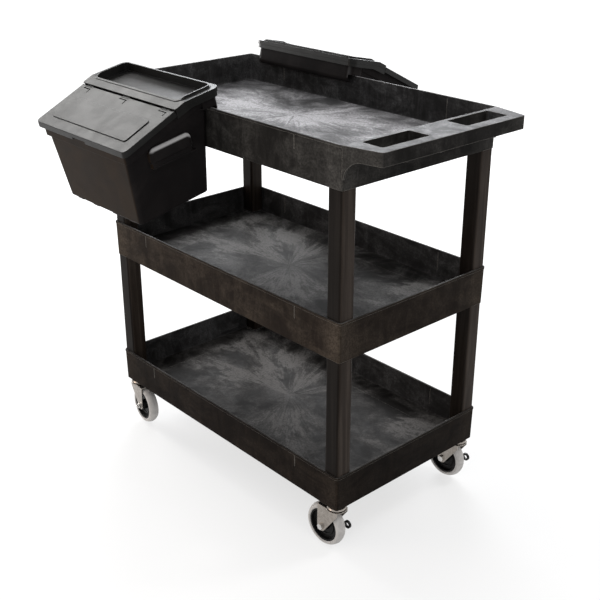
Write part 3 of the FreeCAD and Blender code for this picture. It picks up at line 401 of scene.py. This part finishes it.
# Each pair of colours is (dark, pale), or (bright, dull) for a metal
MATERIALS = {
    "tub": foam_plastic("shelf_foam_plastic", TUB_GATE, TUB_MARKS, contrast=1.0,
                        floor_pair=((0.0150, 0.0143, 0.0139), (0.138, 0.134, 0.132)),
                        wall_pair=((0.0105, 0.0074, 0.0056), (0.056, 0.0435, 0.0330))),
    # The bottom shelf is the middle shelf's moulding in darker colours, as painted shade
    "low": foam_plastic("bottom_shelf_foam_plastic_painted_shade", TUB_GATE, TUB_MARKS, contrast=1.0,
                        floor_pair=((0.0095, 0.0087, 0.0082), (0.088, 0.0835, 0.0805)),
                        wall_pair=((0.0050, 0.0034, 0.0026), (0.026, 0.0195, 0.0148))),
    # The top shelf's floor colours are paler again, partly as a painted sheen
    "top": foam_plastic("top_shelf_foam_plastic_painted_sheen", TOP_GATE, TOP_MARKS, contrast=0.75,
                        floor_pair=((0.050, 0.0495, 0.051), (0.34, 0.336, 0.348)),
                        wall_pair=((0.0095, 0.0089, 0.0083), (0.060, 0.0565, 0.0525))),
    # The legs' faces towards the cart's ends are brightened three times, as painted light
    "leg": smooth_plastic("leg_plastic", ((0.0052, 0.0038, 0.0030), (0.0115, 0.0090, 0.0074)),
                          rough=0.36, shine=0.04, streaks=(42.0, 42.0, 2.4), edge_share=0.25, painted_end_light=3.0),
    # The bin's bloom colour is a painted warm reflection on its outward faces
    "bin": smooth_plastic("bin_plastic", ((0.0070, 0.0062, 0.0063), (0.0120, 0.0104, 0.0102)),
                          rough=0.34, shine=0.015, bloom=(0.019, 0.0130, 0.0088)),
    "lid": smooth_plastic("lid_plastic", ((0.0060, 0.0059, 0.0056), (0.0095, 0.0093, 0.0089)),
                          rough=0.35, shine=0.145, grain_scale=1300.0, grain=0.12),
    "zinc": plated_metal("zinc_plate", (0.36, 0.33, 0.30), (0.25, 0.225, 0.20),
                         rough=0.30, stretch=(160.0, 160.0, 900.0)),
    "steel": plated_metal("steel", (0.70, 0.69, 0.67), (0.42, 0.41, 0.40),
                          rough=0.28, stretch=(700.0, 160.0, 160.0)),
    "hub": smooth_plastic("hub_plastic", ((0.0030, 0.0029, 0.0029), (0.0060, 0.0058, 0.0058)),
                          rough=0.30, shine=0.10, grain_scale=1500.0),
    "lever": smooth_plastic("lever_plastic", ((0.0035, 0.0034, 0.0034), (0.0070, 0.0068, 0.0068)),
                            rough=0.30, shine=0.16, grain_scale=1500.0),
    "rubber": tread("tread_rubber"),
}

# Which finish each CAD node takes, by the start of its name. The first match counts.
FINISHES = (("top_shelf", "top"), ("middle_shelf", "tub"), ("bottom_shelf", "low"), ("lower_leg", "leg"),
            ("upper_leg", "leg"), ("caster_stem", "zinc"), ("caster_fork", "zinc"), ("race_balls", "steel"),
            ("axle_bolt", "steel"), ("axle_nut", "steel"), ("wheel_bush", "steel"), ("wheel_hub", "hub"),
            ("wheel_tyre", "rubber"), ("brake_lever", "lever"), ("bin_front_body", "bin"),
            ("bin_rear_body", "bin"), ("bin_front", "lid"), ("bin_rear", "lid"))


def finish_of(node):
    return next(finish for start, finish in FINISHES if node.startswith(start))


for node, thing in frame["nodes"].items():
    thing.data.materials.clear()
    thing.data.materials.append(MATERIALS[finish_of(node)])


# ---- Moulding details ----


def add_piece(name, mesh, finish, body):
    mesh.materials.append(MATERIALS[finish])
    piece = bpy.data.objects.new(name, mesh)
    bpy.context.scene.collection.objects.link(piece)
    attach(piece, body)


def parting_line(corner):
    """The low ridge, with a triangular section, that runs round the middle of a tyre's tread."""
    axle = JOINTS["wheel_" + corner]
    low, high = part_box("wheel_tyre_" + corner)
    radius = (high[2] - low[2]) / 2
    turned = Vector(axle["axis"]).to_track_quat("Z", "Y").to_matrix().to_4x4()
    place = Matrix.Translation(axle["pos_m"]) @ turned
    section = ((radius - PARTING_LINE_SUNK, -PARTING_LINE_HALF_WIDE), (radius + PARTING_LINE_PROUD, 0.0),
               (radius - PARTING_LINE_SUNK, PARTING_LINE_HALF_WIDE))
    points = []
    faces = []
    for step in range(PARTING_LINE_STEPS):
        angle = 2 * math.pi * step / PARTING_LINE_STEPS
        points += [place @ Vector((r * math.cos(angle), r * math.sin(angle), h)) for r, h in section]
        here, after = 3 * step, 3 * ((step + 1) % PARTING_LINE_STEPS)
        faces += [(here + k, after + k, after + (k + 1) % 3, here + (k + 1) % 3) for k in range(3)]
    name = "tyre_parting_line_" + corner
    mesh = bpy.data.meshes.new(name)
    mesh.from_pydata(points, [], faces)
    add_piece(name, mesh, "rubber", "wheel_" + corner)


def gate_stub(shelf, finish, gate):
    """The trimmed stub under a shelf where the plastic entered the mould: a stepped button."""
    low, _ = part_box(shelf)
    tree = BVHTree.FromObject(frame["nodes"][shelf], bpy.context.evaluated_depsgraph_get())
    root = tree.ray_cast(Vector((*gate, low[2] - CLEAR_BELOW)), Vector((0.0, 0.0, 1.0)))[0]
    form = bmesh.new()
    angles = [2 * math.pi * k / GATE_STUB_SIDES for k in range(GATE_STUB_SIDES)]
    loops = []
    for radius, height in GATE_STUB_OUTLINE:
        ring = [Vector((radius * math.cos(angle), radius * math.sin(angle), height)) for angle in angles]
        loops.append([form.verts.new(root + point) for point in ring])
    for outer, inner in zip(loops, loops[1:]):
        for k in range(GATE_STUB_SIDES):
            after = (k + 1) % GATE_STUB_SIDES
            form.faces.new((outer[k], outer[after], inner[after], inner[k]))
    form.faces.new(loops[-1])
    form.faces.new(loops[0][::-1])
    bmesh.ops.recalc_face_normals(form, faces=form.faces)
    name = "gate_stub_" + shelf
    mesh = bpy.data.meshes.new(name)
    form.to_mesh(mesh)
    form.free()
    add_piece(name, mesh, finish, "frame")


for corner in CORNERS:
    parting_line(corner)
for shelf, finish, gate in (("bottom_shelf", "low", TUB_GATE), ("middle_shelf", "tub", TUB_GATE),
                            ("top_shelf", "top", TOP_GATE)):
    gate_stub(shelf, finish, gate)


# ---- Studio ----


def studio_world():
    world = bpy.data.worlds.new("studio")
    world.use_nodes = True
    sky = world.node_tree.nodes["Background"]
    sky.inputs["Color"].default_value = (1.0, 1.0, 1.0, 1.0)
    sky.inputs["Strength"].default_value = WORLD_STRENGTH
    bpy.context.scene.world = world


def studio_floor():
    mesh = bpy.data.meshes.new("studio_floor")
    far = FLOOR_HALF_SIZE
    mesh.from_pydata([(-far, -far, 0), (far, -far, 0), (far, far, 0), (-far, far, 0)], [], [(0, 1, 2, 3)])
    floor = bpy.data.objects.new("studio_floor", mesh)
    floor.location.z = -FLOOR_DROP
    bpy.context.scene.collection.objects.link(floor)
    mesh.materials.append(stage_floor("studio_floor"))


def camera():
    """The camera, which looks down at the cart from beyond its near corner, at the handle end."""
    level = math.cos(CAMERA_DOWN)
    look = Vector((-math.sin(CAMERA_TURN) * level, math.cos(CAMERA_TURN) * level, -math.sin(CAMERA_DOWN)))
    data = bpy.data.cameras.new("camera")
    data.sensor_width = CAMERA_SENSOR_MM
    data.lens = CAMERA_LENS_MM
    data.shift_x, data.shift_y = CAMERA_SHIFT
    data.clip_end = CAMERA_FAR
    eye = bpy.data.objects.new("camera", data)
    eye.location = CAMERA_PLACE
    eye.rotation_mode = "QUATERNION"
    eye.rotation_quaternion = look.to_track_quat("-Z", "Y")
    bpy.context.scene.collection.objects.link(eye)
    bpy.context.scene.camera = eye


def soft_light(name, place, target, size, watts, colour):
    data = bpy.data.lights.new(name, "AREA")
    data.shape = "DISK"
    data.size = size
    data.energy = watts
    data.color = colour
    lamp = bpy.data.objects.new(name, data)
    lamp.location = place
    lamp.rotation_mode = "QUATERNION"
    lamp.rotation_quaternion = (Vector(target) - Vector(place)).to_track_quat("-Z", "Y")
    bpy.context.scene.collection.objects.link(lamp)


studio_world()
studio_floor()
camera()
for light in LIGHTS:
    soft_light(*light)
bpy.context.scene.view_settings.view_transform = "Standard"
